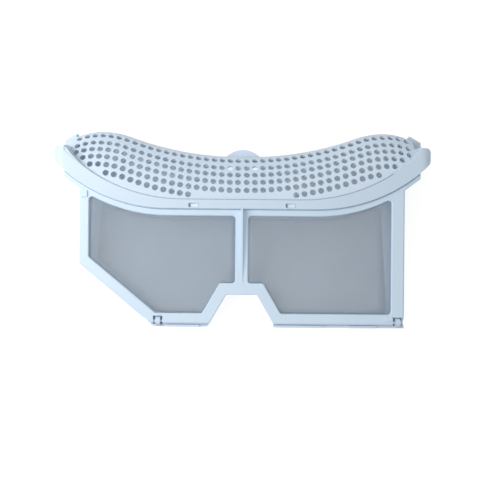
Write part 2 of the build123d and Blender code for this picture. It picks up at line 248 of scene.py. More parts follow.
class MaterialSketch(NodeSketch):
    """A new material around one shader group, which is placed by the object's own coordinates."""

    def __init__(self, name: str, group: bpy.types.NodeTree, values: dict[str, object]) -> None:
        """Make the material.

        Args:
            name: Name of the material.
            group: The shader group.
            values: The group's inputs by name.
        """
        self.material = bpy.data.materials.new(name)
        self.material.use_nodes = True
        super().__init__(self.material.node_tree)
        self.shader = self.tree.nodes["Principled BSDF"].inputs
        effect = self.add("ShaderNodeGroup", node_tree=group)
        self.feed(effect.inputs["Place"], self.add("ShaderNodeTexCoord").outputs["Object"])
        for socket, value in values.items():
            self.feed(effect.inputs[socket], value)
        self.effect = effect.outputs

    def relief(self, **values: float) -> None:
        """Raise the surface by the height that the group puts out.

        Args:
            values: Inputs of the bump node by name.
        """
        bump = self.add("ShaderNodeBump")
        for socket, value in values.items():
            self.feed(bump.inputs[socket], value)
        self.feed(bump.inputs["Height"], self.effect["Height"])
        self.feed(self.shader["Normal"], bump.outputs["Normal"])


def link_object(name: str, mesh: bpy.types.Mesh) -> bpy.types.Object:
    """Put a mesh into the scene as an object at the origin.

    Args:
        name: Name of the object and its mesh.
        mesh: The mesh.

    Returns:
        The new object.
    """
    mesh.name = name
    thing = bpy.data.objects.new(name, mesh)
    bpy.context.scene.collection.objects.link(thing)
    return thing


def plain_mesh(thing: bpy.types.Object) -> bpy.types.Mesh:
    """Mesh of an object with its modifiers applied, after which the object is gone.

    Args:
        thing: A mesh object.

    Returns:
        The finished mesh.
    """
    depsgraph = bpy.context.evaluated_depsgraph_get()
    mesh = bpy.data.meshes.new_from_object(thing.evaluated_get(depsgraph))
    bpy.data.objects.remove(thing)
    return mesh


def grow_tree(
    tree: bpy.types.GeometryNodeTree, source: bpy.types.Object, values: dict[str, object]
) -> bpy.types.Mesh:
    """Run a Geometry Nodes tree on an object and keep the plain mesh that it gives.

    Args:
        tree: The tree.
        source: The object that it starts from, which is used up.
        values: The tree's inputs by name.

    Returns:
        The plain mesh.
    """
    modifier = source.modifiers.new(tree.name, "NODES")
    modifier.node_group = tree
    for item in tree.interface.items_tree:
        if item.in_out == "INPUT" and item.name in values:
            modifier[item.identifier] = values[item.name]
    return plain_mesh(source)


def grain_group() -> bpy.types.NodeTree:
    """Shader group of moulded plastic: a fine spark-eroded grain, cloudy tone and uneven polish.

    Returns:
        The group, with outputs for colour, roughness and the height of the grain.
    """
    inputs = {
        "Place": "Vector",
        "Colour": "Color",
        "Shade": "Color",
        "Cloud Scale": "Float",
        "Cloud Amount": "Float",
        "Grain Scale": "Float",
        "Polish": "Float",
        "Polish Spread": "Float",
    }
    outputs = {"Colour": "Color", "Roughness": "Float", "Height": "Float"}
    sketch = GroupSketch("moulded_grain", "ShaderNodeTree", inputs, outputs)
    given, shown = sketch.given, sketch.shown
    cloud = sketch.noise(given["Place"], given["Cloud Scale"], CLOUD_DETAIL)
    grain = sketch.noise(given["Place"], given["Grain Scale"], GRAIN_DETAIL)
    amount = sketch.math("MULTIPLY", cloud, given["Cloud Amount"])
    sketch.feed(shown["Colour"], sketch.tint(amount, given["Colour"], given["Shade"]))
    uneven = sketch.math("SUBTRACT", cloud, NOISE_MIDDLE)
    speckle = sketch.math("SUBTRACT", grain, NOISE_MIDDLE)
    both = sketch.math("ADD", uneven, speckle)
    spread = sketch.math("MULTIPLY", both, given["Polish Spread"])
    sketch.feed(shown["Roughness"], sketch.math("ADD", given["Polish"], spread))
    sketch.feed(shown["Height"], grain)
    return sketch.tree


def weave_group() -> bpy.types.NodeTree:
    """Shader group of a plain weave seen from above, with threads over and under each other in turn.

    Returns:
        The group, with outputs for the cover of the threads, their height and their colour.
    """
    inputs = {
        "Place": "Vector",
        "Threads": "Float",
        "Thread Width": "Float",
        "Colour": "Color",
        "Shade": "Color",
        "Lint Scale": "Float",
        "Lint Amount": "Float",
    }
    outputs = {"Cover": "Float", "Height": "Float", "Colour": "Color"}
    sketch = GroupSketch("plain_weave", "ShaderNodeTree", inputs, outputs)
    given, shown = sketch.given, sketch.shown
    place = sketch.add("ShaderNodeSeparateXYZ")
    sketch.feed(place.inputs[0], given["Place"])
    across = sketch.math("MULTIPLY", place.outputs["X"], given["Threads"])
    along = sketch.math("MULTIPLY", place.outputs["Y"], given["Threads"])
    sets = []
    for own, other in ((across, along), (along, across)):
        off = sketch.math("ABSOLUTE", sketch.math("SUBTRACT", sketch.math("FRACT", own), 0.5))
        off = sketch.math("MULTIPLY", off, 2.0)
        cover = sketch.math("LESS_THAN", off, given["Thread Width"])
        turn = sketch.math("ADD", sketch.math("FLOOR", own), other)
        wave = sketch.math("SINE", sketch.math("MULTIPLY", turn, pi))
        level = sketch.math("MULTIPLY_ADD", wave, THREAD_SWING, THREAD_LEVEL)
        arch = sketch.math("SUBTRACT", 1.0, sketch.math("POWER", off, 2.0))
        sets.append((cover, sketch.math("MULTIPLY", sketch.math("MULTIPLY", level, arch), cover)))
    covers, heights = zip(*sets)
    sketch.feed(shown["Cover"], sketch.math("MAXIMUM", *covers))
    sketch.feed(shown["Height"], sketch.math("MAXIMUM", *heights))
    lint = sketch.noise(given["Place"], given["Lint Scale"], LINT_DETAIL)
    dark = sketch.math("MULTIPLY", lint, given["Lint Amount"])
    sketch.feed(shown["Colour"], sketch.tint(dark, given["Colour"], given["Shade"]))
    return sketch.tree


@dataclass(frozen=True)
class MouldedPlastic:
    """Satin moulded plastic with a fine grain."""

    name: str
    colour: Colour = (0.61, 0.72, 0.83, 1.0)
    shade: Colour = (0.54, 0.66, 0.79, 1.0)
    cloud_scale: float = 22.0
    cloud_amount: float = 0.6
    grain_scale: float = 2600.0
    grain_depth: float = 0.00004
    grain_strength: float = 0.25
    polish: float = 0.42
    polish_spread: float = 0.12
    gloss: float = 0.45

    def material(self, group: bpy.types.NodeTree) -> bpy.types.Material:
        """Make the finish.

        Args:
            group: The shader group of moulded grain.

        Returns:
            The material.
        """
        values = {
            "Colour": self.colour,
            "Shade": self.shade,
            "Cloud Scale": self.cloud_scale,
            "Cloud Amount": self.cloud_amount,
            "Grain Scale": self.grain_scale,
            "Polish": self.polish,
            "Polish Spread": self.polish_spread,
        }
        sketch = MaterialSketch(self.name, group, values)
        sketch.relief(Strength=self.grain_strength, Distance=self.grain_depth)
        sketch.feed(sketch.shader["Base Color"], sketch.effect["Colour"])
        sketch.feed(sketch.shader["Roughness"], sketch.effect["Roughness"])
        sketch.shader["Specular IOR Level"].default_value = self.gloss
        return sketch.material


@dataclass(frozen=True)
class ScreenCloth:
    """Fine woven screen with open gaps between its threads."""

    name: str
    threads_per_metre: float = 2300.0
    thread_width: float = 0.2
    colour: Colour = (0.76, 0.86, 0.96, 1.0)
    shade: Colour = (0.66, 0.76, 0.87, 1.0)
    lint_scale: float = 60.0
    lint_amount: float = 0.6
    thread_depth: float = 0.0001
    roughness: float = 0.6

    def material(self, group: bpy.types.NodeTree) -> bpy.types.Material:
        """Make the finish.

        Args:
            group: The shader group of the plain weave.

        Returns:
            The material.
        """
        values = {
            "Threads": self.threads_per_metre,
            "Thread Width": self.thread_width,
            "Colour": self.colour,
            "Shade": self.shade,
            "Lint Scale": self.lint_scale,
            "Lint Amount": self.lint_amount,
        }
        sketch = MaterialSketch(self.name, group, values)
        sketch.relief(Distance=self.thread_depth)
        sketch.feed(sketch.shader["Base Color"], sketch.effect["Colour"])
        sketch.feed(sketch.shader["Alpha"], sketch.effect["Cover"])
        sketch.shader["Roughness"].default_value = self.roughness
        return sketch.material


@dataclass(frozen=True)
class SmileLine:
    """A line that is level in the middle and turns up in an arc at each side."""

    level: float
    flat_half: float
    radius: float

    def heights(self, x: np.ndarray) -> np.ndarray:
        """Heights of the line at distances from the middle."""
        reach = np.maximum(np.abs(x) - self.flat_half, 0.0)
        return self.level + self.radius - np.sqrt(self.radius**2 - reach**2)


@dataclass(frozen=True)
class CrestLine:
    """Top line of the hood: a dip in the middle, then a rounded shoulder at each side."""

    middle: float = 161.5
    flat_half: float = 4.0
    dip_radius: float = 310.0
    bend_x: float = 110.0
    crest_x: float = 138.0
    end_radius: float = 58.5

    def heights(self, x: np.ndarray) -> np.ndarray:
        """Heights of the line at distances from the middle.

        Args:
            x: Distances across the hood.

        Returns:
            Heights above the foot of the door.
        """
        reach = np.abs(x)
        dip_half = self.bend_x - self.flat_half
        shoulder_radius = self.dip_radius * (self.crest_x - self.bend_x) / dip_half
        turn = asin(dip_half / self.dip_radius)
        top = self.middle + (self.dip_radius + shoulder_radius) * (1 - cos(turn))
        inner = np.clip(reach - self.flat_half, 0.0, dip_half)
        dip = self.middle + self.dip_radius - np.sqrt(self.dip_radius**2 - inner**2)
        radius = np.where(reach < self.crest_x, shoulder_radius, self.end_radius)
        outer = np.clip(reach - self.crest_x, self.bend_x - self.crest_x, self.end_radius)
        shoulder = top - radius + np.sqrt(radius**2 - outer**2)
        return np.where(reach <= self.bend_x, dip, shoulder)

    def slopes(self, x: np.ndarray) -> np.ndarray:
        """Slope of the line at distances from the middle."""
        step = 0.01
        return (self.heights(x + step) - self.heights(x - step)) / (2 * step)


@dataclass(frozen=True)
class HoodSection:
    """Section of the hood by the run along its wall, forwards or back from the crest."""

    nose_radius: float = 11.0
    nose_angle: float = radians(50.0)
    face_radius: float = 89.0
    proud: float = 1.29
    crest_flat: float = 1.04
    back_round: float = 5.0

    @property
    def rest(self) -> float:
        """How much larger the face's radius is than the nose's."""
        return self.face_radius - self.nose_radius

    @property
    def nose_run(self) -> float:
        """Run along the nose."""
        return self.nose_radius * self.nose_angle

    @property
    def full_drop(self) -> float:
        """Drop at which the face is upright."""
        return self.nose_radius + self.rest * cos(self.nose_angle)

    @property
    def crest_depth(self) -> float:
        """Depth of the crest behind the door's face."""
        return self.face_radius - self.rest * sin(self.nose_angle) - self.proud

    def turns(self, run: np.ndarray) -> np.ndarray:
        """Angle of the wall from level, for runs to the front."""
        face_turn = self.nose_angle + (run - self.nose_run) / self.face_radius
        return np.where(run < self.nose_run, run / self.nose_radius, np.minimum(face_turn, pi / 2))

    def forwards(self, run: np.ndarray) -> tuple[np.ndarray, np.ndarray]:
        """Drop below the crest and place out of the door's face, for runs to the front."""
        face_turn = self.nose_angle + (run - self.nose_run) / self.face_radius
        turn = self.turns(run)
        below = np.maximum(face_turn - pi / 2, 0.0) * self.face_radius
        rest = np.where(run < self.nose_run, 0.0, self.rest)
        reach = self.nose_radius + rest
        drop = self.nose_radius + rest * cos(self.nose_angle) - reach * np.cos(turn) + below
        out = reach * np.sin(turn) - self.crest_depth - rest * sin(self.nose_angle)
        return drop, out

    def backwards(self, run: np.ndarray) -> tuple[np.ndarray, np.ndarray]:
        """Drop below the crest and place out of the door's face, for runs to the back."""
        flat = np.minimum(run, self.crest_flat)
        turn = np.clip((run - self.crest_flat) / self.back_round, 0.0, pi / 2)
        below = np.maximum(run - self.crest_flat - self.back_round * pi / 2, 0.0)
        drop = self.back_round * (1 - np.cos(turn)) + below
        out = -self.crest_depth - flat - self.back_round * np.sin(turn)
        return drop, out

    def points(self, run: np.ndarray) -> tuple[np.ndarray, np.ndarray]:
        """Drop and place out for runs to the front, above 0, or to the back, below 0."""
        front = self.forwards(np.maximum(run, 0.0))
        back = self.backwards(np.maximum(-run, 0.0))
        drop = np.where(run >= 0, front[0], back[0])
        out = np.where(run >= 0, front[1], back[1])
        return drop, out

    def front_run(self, drop: np.ndarray) -> np.ndarray:
        """Run to the front at which the wall has a drop."""
        nose_limit = self.nose_radius * (1 - cos(self.nose_angle))
        nose = self.nose_radius * np.arccos(1 - np.clip(drop, 0.0, nose_limit) / self.nose_radius)
        lean = np.clip((self.full_drop - drop) / self.face_radius, 0.0, cos(self.nose_angle))
        face = self.nose_run + self.face_radius * (np.arccos(lean) - self.nose_angle)
        return np.where(drop < nose_limit, nose, face + np.maximum(drop - self.full_drop, 0.0))

    def back_run(self, drop: np.ndarray) -> np.ndarray:
        """Run to the back at which the wall has a drop."""
        turn = np.arccos(1 - np.clip(drop, 0.0, self.back_round) / self.back_round)
        return self.crest_flat + self.back_round * turn + np.maximum(drop - self.back_round, 0.0)


def perforated_sheet_tree() -> bpy.types.GeometryNodeTree:
    """Geometry Nodes tree that lays cells on points, with a round hole where a point asks for one.

    Returns:
        The tree, with named inputs for the sizes.
    """
    inputs = {
        "Cell Centres": "Geometry",
        "Cell Width": "Float",
        "Cell Height": "Float",
        "Hole Radius": "Float",
        "Side Steps": "Int",
        "Ring Steps": "Int",
        "Weld Distance": "Float",
        "Finish": "Material",
    }
    sketch = GroupSketch("perforated_sheet", "GeometryNodeTree", inputs, {"Sheet": "Geometry"})
    given = sketch.given

    ring = sketch.add("GeometryNodeMeshGrid")
    around = sketch.math("MULTIPLY", given["Side Steps"], 4.0)
    sketch.feed(ring.inputs["Vertices X"], sketch.math("ADD", around, 1.0))
    sketch.feed(ring.inputs["Vertices Y"], sketch.math("ADD", given["Ring Steps"], 1.0))
    sketch.feed(ring.inputs["Size X"], 1.0)
    sketch.feed(ring.inputs["Size Y"], 1.0)
    place = sketch.add("ShaderNodeSeparateXYZ")
    sketch.feed(place.inputs[0], sketch.add("GeometryNodeInputPosition").outputs[0])
    turn = sketch.math("SUBTRACT", 0.5, place.outputs["X"])
    outwards = sketch.math("ADD", place.outputs["Y"], 0.5)
    quarter = sketch.math("MULTIPLY", turn, 4.0)
    side = sketch.math("FLOOR", quarter)
    along = sketch.math("MULTIPLY_ADD", sketch.math("SUBTRACT", quarter, side), 2.0, -1.0)
    side_turn = sketch.math("MULTIPLY", side, pi / 2)
    side_cos = sketch.math("COSINE", side_turn)
    side_sin = sketch.math("SINE", side_turn)
    edge_x = sketch.math("SUBTRACT", side_cos, sketch.math("MULTIPLY", along, side_sin))
    edge_y = sketch.math("ADD", side_sin, sketch.math("MULTIPLY", along, side_cos))
    angle = sketch.math("MULTIPLY_ADD", turn, 2 * pi, -pi / 4)
    spots = []
    for edge, size, wave in ((edge_x, "Cell Width", "COSINE"), (edge_y, "Cell Height", "SINE")):
        rim = sketch.math("MULTIPLY", given["Hole Radius"], sketch.math(wave, angle))
        border = sketch.math("MULTIPLY", sketch.math("MULTIPLY", edge, given[size]), 0.5)
        spots.append(sketch.blend(outwards, rim, border))
    spot = sketch.add("ShaderNodeCombineXYZ")
    sketch.feed(spot.inputs["X"], spots[0])
    sketch.feed(spot.inputs["Y"], spots[1])
    holed = sketch.add("GeometryNodeSetPosition")
    sketch.feed(holed.inputs["Geometry"], ring.outputs["Mesh"])
    sketch.feed(holed.inputs["Position"], spot.outputs[0])

    blank = sketch.add("GeometryNodeMeshGrid")
    steps = sketch.math("ADD", given["Side Steps"], 1.0)
    for name, value in (
        ("Size X", given["Cell Width"]),
        ("Size Y", given["Cell Height"]),
        ("Vertices X", steps),
        ("Vertices Y", steps),
    ):
        sketch.feed(blank.inputs[name], value)

    wanted = sketch.add("GeometryNodeInputNamedAttribute", data_type="BOOLEAN")
    wanted.inputs["Name"].default_value = "holed"
    unwanted = sketch.add("FunctionNodeBooleanMath", operation="NOT")
    sketch.feed(unwanted.inputs[0], wanted.outputs["Attribute"])
    joined = sketch.add("GeometryNodeJoinGeometry")
    for cell, chosen in (
        (holed.outputs["Geometry"], wanted.outputs["Attribute"]),
        (blank.outputs["Mesh"], unwanted.outputs[0]),
    ):
        laid = sketch.add("GeometryNodeInstanceOnPoints")
        sketch.feed(laid.inputs["Points"], given["Cell Centres"])
        sketch.feed(laid.inputs["Instance"], cell)
        sketch.feed(laid.inputs["Selection"], chosen)
        sketch.feed(joined.inputs[0], laid.outputs["Instances"])
    real = sketch.add("GeometryNodeRealizeInstances")
    sketch.feed(real.inputs["Geometry"], joined.outputs[0])
    welded = sketch.add("GeometryNodeMergeByDistance")
    sketch.feed(welded.inputs["Geometry"], real.outputs["Geometry"])
    sketch.feed(welded.inputs["Distance"], given["Weld Distance"])
    coated = sketch.add("GeometryNodeSetMaterial")
    sketch.feed(coated.inputs["Geometry"], welded.outputs["Geometry"])
    sketch.feed(coated.inputs["Material"], given["Finish"])
    sketch.feed(sketch.shown["Sheet"], coated.outputs["Geometry"])
    return sketch.tree


@dataclass
class PerforatedHood:
    """Grille hood over the rim, with its end walls, finger grip and snap clips."""

    crest: CrestLine = CrestLine()
    section: HoodSection = HoodSection()
    seam: SmileLine = SmileLine(116.2, 56.0, 155.0)
    half_length: float = 165.0
    wall: float = 2.0
    skirt: float = 2.0
    groove_width: float = 0.65
    groove_depth: float = 0.9
    edge_round: float = 0.3
    hole_radius: float = 2.85
    first_column_x: float = 4.15
    column_pitch: float = 7.7
    column_count: int = 21
    first_row_run: float = 13.4
    first_row_draw: float = 1.7
    hole_margin: float = 0.2
    row_pitch: float = 8.2
    row_count: int = 6
    middle_columns: int = 6
    middle_rows: int = 5
    end_rows: tuple[int, ...] = (5, 5, 4, 3)
    row_reach: int = 9
    cell_samples: int = 5
    side_steps: int = 5
    ring_steps: int = 2
    middle_margin: float = 0.01
    edge_margin: float = 1e-3
    least_reach: float = 1e-6
    sliver_area: float = 1e-4
    back_row_count: int = 10
    back_row_edges: tuple[float, ...] = (1.1, -4.6, -10.2, -16.4)
    grip_window_row: int = -4
    grip_radius: float = 23.7
    grip_height: float = 146.1
    grip_stem: float = 18.0
    grip_steps: int = 24
    grip_thickness: float = 2.6
    grip_window_x: tuple[float, float] = (8.0, 15.7)
    grip_window_rise: tuple[float, float] = (149.0, 155.2)
    clip_x: float = 45.0
    clip_span: tuple[float, float] = (-2.8, 4.4)
    clip_rise: tuple[float, float] = (109.2, 112.6)
    clip_top: float = 124.2
    clip_depth: float = 2.3
    clip_thickness: float = 1.5
    clip_nose_out: tuple[float, float] = (0.3, 1.9)

    def rows_in(self, column: int) -> int:
        """How many holes a column has."""
        from_end = column - self.column_count + len(self.end_rows)
        if from_end >= 0:
            return self.end_rows[from_end] if from_end < len(self.end_rows) else 0
        return self.middle_rows if column < self.middle_columns else self.row_count

    def front_limit(self, x: np.ndarray) -> np.ndarray:
        """Run to the front at which the wall ends, just above the rim."""
        return self.section.front_run(self.crest.heights(x) - self.seam.heights(x) - self.groove_width)

    def back_limit(self, x: np.ndarray) -> np.ndarray:
        """Run to the back at which the wall ends inside the rim."""
        return -self.section.back_run(self.crest.heights(x) - self.seam.heights(x) + self.skirt)

    def is_grip_window(self, column: int, row: int) -> bool:
        """Whether a cell of the back wall is open behind the grip."""
        return column == 1 and row == self.grip_window_row

    def cells(self) -> tuple[list[tuple[float, float, float]], list[bool]]:
        """Middle of each cell of the flat sheet, and whether it has a hole.

        Returns:
            The places, with the run down the front as minus Y, and the list of holed cells.
        """
        places: list[tuple[float, float, float]] = []
        holed: list[bool] = []
        for column in range(self.column_count + 1):
            x = self.first_column_x + column * self.column_pitch
            across = np.linspace(-0.5, 0.5, self.cell_samples) * self.column_pitch
            span = np.clip(x + across, 0.0, self.half_length)
            lowest = float(np.max(self.front_limit(span)))
            rearmost = float(np.min(self.back_limit(span)))
            for row in range(-self.row_reach, self.row_reach):
                run = self.first_row_run + row * self.row_pitch
                top, foot = run - self.row_pitch / 2, run + self.row_pitch / 2
                if top > lowest or self.moved_rows(foot) < rearmost or self.is_grip_window(column, row):
                    continue
                for sign in (-1.0, 1.0):
                    places.append((sign * x, -run, 0.0))
                    holed.append(0 <= row < self.rows_in(column))
        return places, holed

    def moved_rows(self, run: np.ndarray) -> np.ndarray:
        """Draw the first row up to the crest, and space the back rows to suit the grip's windows.

        Args:
            run: Runs of the evenly spaced rows.

        Returns:
            The moved runs.
        """
        first = self.back_row_edges[0]
        even = first - self.row_pitch * np.arange(self.back_row_count)
        further = np.arange(1, self.back_row_count + 1 - len(self.back_row_edges))
        rest = self.back_row_edges[-1] - self.row_pitch * further
        moved = np.concatenate((self.back_row_edges, rest))
        margin = self.hole_radius + self.hole_margin
        top_row = np.array([self.first_row_run - margin, self.first_row_run + margin])
        second_row = self.first_row_run + self.row_pitch - margin
        front = np.interp(
            run,
            (first, *top_row, second_row),
            (first, *(top_row - self.first_row_draw), second_row),
        )
        front = np.where(run < second_row, front, run)
        return np.where(run < first, np.interp(run, even[::-1], moved[::-1]), front)

    def rounded(self, x: np.ndarray, run: np.ndarray) -> tuple[np.ndarray, np.ndarray]:
        """Skew the flat cells so that the holes are round on the sloping wall.

        Args:
            x: Places across the flat sheet.
            run: Runs along the flat sheet.

        Returns:
            The skewed places and runs.
        """
        column = np.rint((np.abs(x) - self.first_column_x) / self.column_pitch)
        row = np.rint((run - self.first_row_run) / self.row_pitch)
        middle_x = np.sign(x) * (self.first_column_x + column * self.column_pitch)
        middle_run = self.first_row_run + row * self.row_pitch
        off_x = x - middle_x
        off_run = run - middle_run
        reach = np.maximum(np.hypot(off_x, off_run), self.least_reach)
        edge = np.maximum(np.abs(off_x) / self.column_pitch, np.abs(off_run) / self.row_pitch) * 2
        hole_edge = edge * self.hole_radius / reach
        share = np.clip((1 - edge) / (1 - hole_edge), 0.0, 1.0)
        rows = np.array([self.rows_in(int(number)) for number in column.ravel()]).reshape(column.shape)
        share = np.where((row >= 0) & (row < rows), share, 0.0)
        slope = self.crest.slopes(middle_x)
        turn = self.section.turns(np.maximum(middle_run, 0.0))
        stretch = np.sqrt(1 + (slope * np.cos(turn)) ** 2)
        drawn_x = middle_x + off_x * (1 + share * (1 / stretch - 1))
        return drawn_x, run + share * slope * np.sin(turn) * off_x / stretch

    def flat_sheet(self, finish: bpy.types.Material) -> bpy.types.Mesh:
        """The wall of the hood before it is bent, made by Geometry Nodes.

        Args:
            finish: Material of the hood.

        Returns:
            A flat mesh, with X across and the run down the front as minus Y.
        """
        places, holed = self.cells()
        points = bpy.data.meshes.new("hood_cells")
        points.from_pydata(places, [], [])
        marks = points.attributes.new("holed", "BOOLEAN", "POINT")
        marks.data.foreach_set("value", holed)
        values = {
            "Cell Width": self.column_pitch,
            "Cell Height": self.row_pitch,
            "Hole Radius": self.hole_radius,
            "Side Steps": self.side_steps,
            "Ring Steps": self.ring_steps,
            "Weld Distance": PLANE_WELD,
            "Finish": finish,
        }
        return grow_tree(perforated_sheet_tree(), link_object("hood_cells", points), values)

    def trimmed(self, flat: bpy.types.Mesh) -> bmesh.types.BMesh:
        """Draw the flat sheet in to the middle line, the ends and the lower edges.

        Args:
            flat: The flat sheet, which is used up.

        Returns:
            The sheet without the cells that the edges close up.
        """
        spots = np.empty(len(flat.vertices) * 3)
        flat.vertices.foreach_get("co", spots)
        spots = spots.reshape(-1, 3)
        x = spots[:, 0]
        middle_gap = self.first_column_x - self.column_pitch / 2 + self.middle_margin
        x = np.where(np.abs(x) < middle_gap, 0.0, np.clip(x, -self.half_length, self.half_length))
        x, run = self.rounded(x, -spots[:, 1])
        run = self.moved_rows(run)
        run = np.clip(run, self.back_limit(x), self.front_limit(x))
        flat.vertices.foreach_set("co", np.column_stack((x, -run, np.zeros_like(x))).ravel())
        sheet = bmesh.new()
        sheet.from_mesh(flat)
        bpy.data.meshes.remove(flat)
        bmesh.ops.remove_doubles(sheet, verts=sheet.verts, dist=PLANE_WELD)
        bmesh.ops.dissolve_degenerate(sheet, edges=sheet.edges, dist=PLANE_WELD)
        slivers = [face for face in sheet.faces if face.calc_area() < self.sliver_area]
        bmesh.ops.delete(sheet, geom=slivers, context="FACES")
        return sheet

    def bend(self, sheet: bmesh.types.BMesh) -> None:
        """Bend the trimmed sheet over the hood's section, close its ends and fold in its front hem."""
        lowest = self.front_limit(np.array([vert.co.x for vert in sheet.verts]))
        near = self.edge_margin
        front = {vert for vert, run in zip(sheet.verts, lowest) if abs(-vert.co.y - run) < near}
        hem = [edge for edge in sheet.edges if edge.is_boundary and front.issuperset(edge.verts)]
        ends = []
        for sign in (-1.0, 1.0):
            found = [vert for vert in sheet.verts if abs(vert.co.x - sign * self.half_length) < near]
            ends.append(sorted(found, key=lambda vert: -sign * vert.co.y))
        spots = np.array([vert.co[:] for vert in sheet.verts])
        drop, out = self.section.points(-spots[:, 1])
        rise = self.crest.heights(spots[:, 0]) - drop
        for vert, place in zip(sheet.verts, np.column_stack((spots[:, 0], rise, out))):
            vert.co = place
        for loop in ends:
            sheet.faces.new(loop)
        for step in ((0.0, 0.0, -self.groove_depth), (0.0, -self.groove_width - self.skirt, 0.0)):
            corners = [(edge.link_loops[0].link_loop_next.vert, edge.link_loops[0].vert) for edge in hem]
            folded = {}
            for vert in (vert for pair in corners for vert in pair):
                if vert not in folded:
                    folded[vert] = sheet.verts.new(vert.co + Vector(step))
            for start, end in corners:
                sheet.faces.new((start, end, folded[end], folded[start]))
            hem = [sheet.edges.get((folded[start], folded[end])) for start, end in corners]
        sheet.normal_update()

    def shell(self, finish: bpy.types.Material) -> bpy.types.Mesh:
        """The perforated wall with its thickness.

        Args:
            finish: Material of the hood.

        Returns:
            A closed mesh in the plane of the door, with its inner faces on the second material slot.
        """
        sheet = self.trimmed(self.flat_sheet(finish))
        self.bend(sheet)
        for face in sheet.faces:
            face.material_index = 0
        mesh = bpy.data.meshes.new("hood_wall")
        sheet.to_mesh(mesh)
        sheet.free()
        for _ in range(2):
            mesh.materials.append(finish)
        wall = link_object("hood_wall", mesh)
        solid = wall.modifiers.new("wall", "SOLIDIFY")
        solid.thickness = self.wall
        solid.offset = -1.0
        solid.use_even_offset = True
        solid.material_offset = 1
        solid.material_offset_rim = 0
        return plain_mesh(wall)

    def grip(self) -> bmesh.types.BMesh:
        """Rounded finger tab on the back of the hood, with a window at each side."""
        radius = self.grip_radius
        turns = np.linspace(0.0, pi, self.grip_steps + 1)
        outline = [(radius * cos(turn), self.grip_height + radius * sin(turn)) for turn in turns]
        foot = self.grip_height - self.grip_stem
        outline += [(-radius, foot), (radius, foot)]
        low, high = self.grip_window_rise
        loops = [outline]
        for sign in (-1.0, 1.0):
            near, far = (sign * x for x in self.grip_window_x)
            loops.append([(near, low), (far, low), (far, high), (near, high)])
        section = self.section
        out = self.wall / 2 - section.crest_depth - section.crest_flat - section.back_round
        return prism(loops, lambda x, rise, depth: (x, rise, out - depth), self.grip_thickness)

    def clip(self, sign: float) -> bmesh.types.BMesh:
        """Snap clip: a tongue behind the rim's front wall, with a sloping nose in the rim's window.

        Args:
            sign: Side of the clip, -1 or 1.

        Returns:
            The clip in the plane of the door.
        """
        near, far = (sign * self.clip_x + reach for reach in self.clip_span)
        low, high = self.clip_rise
        back = -self.clip_depth - self.clip_thickness
        nose = [(near, back), (far, back), (far, self.clip_nose_out[1]), (near, self.clip_nose_out[0])]
        whole = prism([nose], lambda x, out, step: (x, low + step, out), high - low)
        loop = [(near, back), (far, back), (far, -self.clip_depth), (near, -self.clip_depth)]
        tongue = prism([loop], lambda x, out, step: (x, high + step, out), self.clip_top - high)
        return joined(whole, tongue)

    def build(self, finish: bpy.types.Material, lining: bpy.types.Material) -> bpy.types.Object:
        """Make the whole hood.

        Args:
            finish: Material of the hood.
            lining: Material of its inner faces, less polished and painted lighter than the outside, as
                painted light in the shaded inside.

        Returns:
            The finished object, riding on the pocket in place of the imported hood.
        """
        whole = bmesh.new()
        whole.from_mesh(self.shell(finish))
        for part in (self.grip(), self.clip(-1.0), self.clip(1.0)):
            joined(whole, part)
        hood = finished("hood_grille", whole, [finish, lining], self.edge_round)
        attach(hood, Body.POCKET.value)
        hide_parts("hood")
        return hood


def joined(whole: bmesh.types.BMesh, part: bmesh.types.BMesh) -> bmesh.types.BMesh:
    """Add a shape to another one.

    Args:
        whole: The shape that is added to.
        part: The shape that is added, which is used up.

    Returns:
        The first shape.
    """
    mesh = bpy.data.meshes.new("part")
    part.to_mesh(mesh)
    part.free()
    whole.from_mesh(mesh)
    bpy.data.meshes.remove(mesh)
    return whole


def prism(
    loops: list[list[tuple[float, float]]],
    place: Callable[[float, float, float], tuple[float, float, float]],
    thickness: float,
) -> bmesh.types.BMesh:
    """Closed prism of an outline, with openings where further loops lie inside the first.

    Args:
        loops: The outline and its openings, as points of a plane.
        place: Gives the place of a plane point at a depth.
        thickness: Depth of the prism.

    Returns:
        The prism, with its faces pointing outwards.
    """
    solid = bmesh.new()
    pairs = []
    for loop in loops:
        verts = [solid.verts.new((a, b, 0.0)) for a, b in loop]
        pairs += zip(verts, verts[1:] + verts[:1])
    edges = [solid.edges.new(pair) for pair in pairs]
    bmesh.ops.triangle_fill(solid, edges=edges, use_beauty=True, use_dissolve=False)
    raised = {vert: solid.verts.new((vert.co.x, vert.co.y, thickness)) for vert in solid.verts[:]}
    for face in solid.faces[:]:
        solid.faces.new([raised[vert] for vert in face.verts])
    for start, end in pairs:
        solid.faces.new((start, end, raised[end], raised[start]))
    for vert in solid.verts:
        vert.co = place(*vert.co)
    bmesh.ops.recalc_face_normals(solid, faces=solid.faces)
    return solid


def strip(rings: list[list[tuple[float, float, float]]]) -> bmesh.types.BMesh:
    """Closed strip through a row of sections.

    Args:
        rings: Corners of each section, all in the same order.

    Returns:
        The strip, with its faces pointing outwards.
    """
    solid = bmesh.new()
    loops = [[solid.verts.new(corner) for corner in ring] for ring in rings]
    for loop, following in zip(loops, loops[1:]):
        for side in range(len(loop)):
            after = (side + 1) % len(loop)
            solid.faces.new((loop[side], loop[after], following[after], following[side]))
    solid.faces.new(loops[0])
    solid.faces.new(loops[-1])
    bmesh.ops.recalc_face_normals(solid, faces=solid.faces)
    return solid


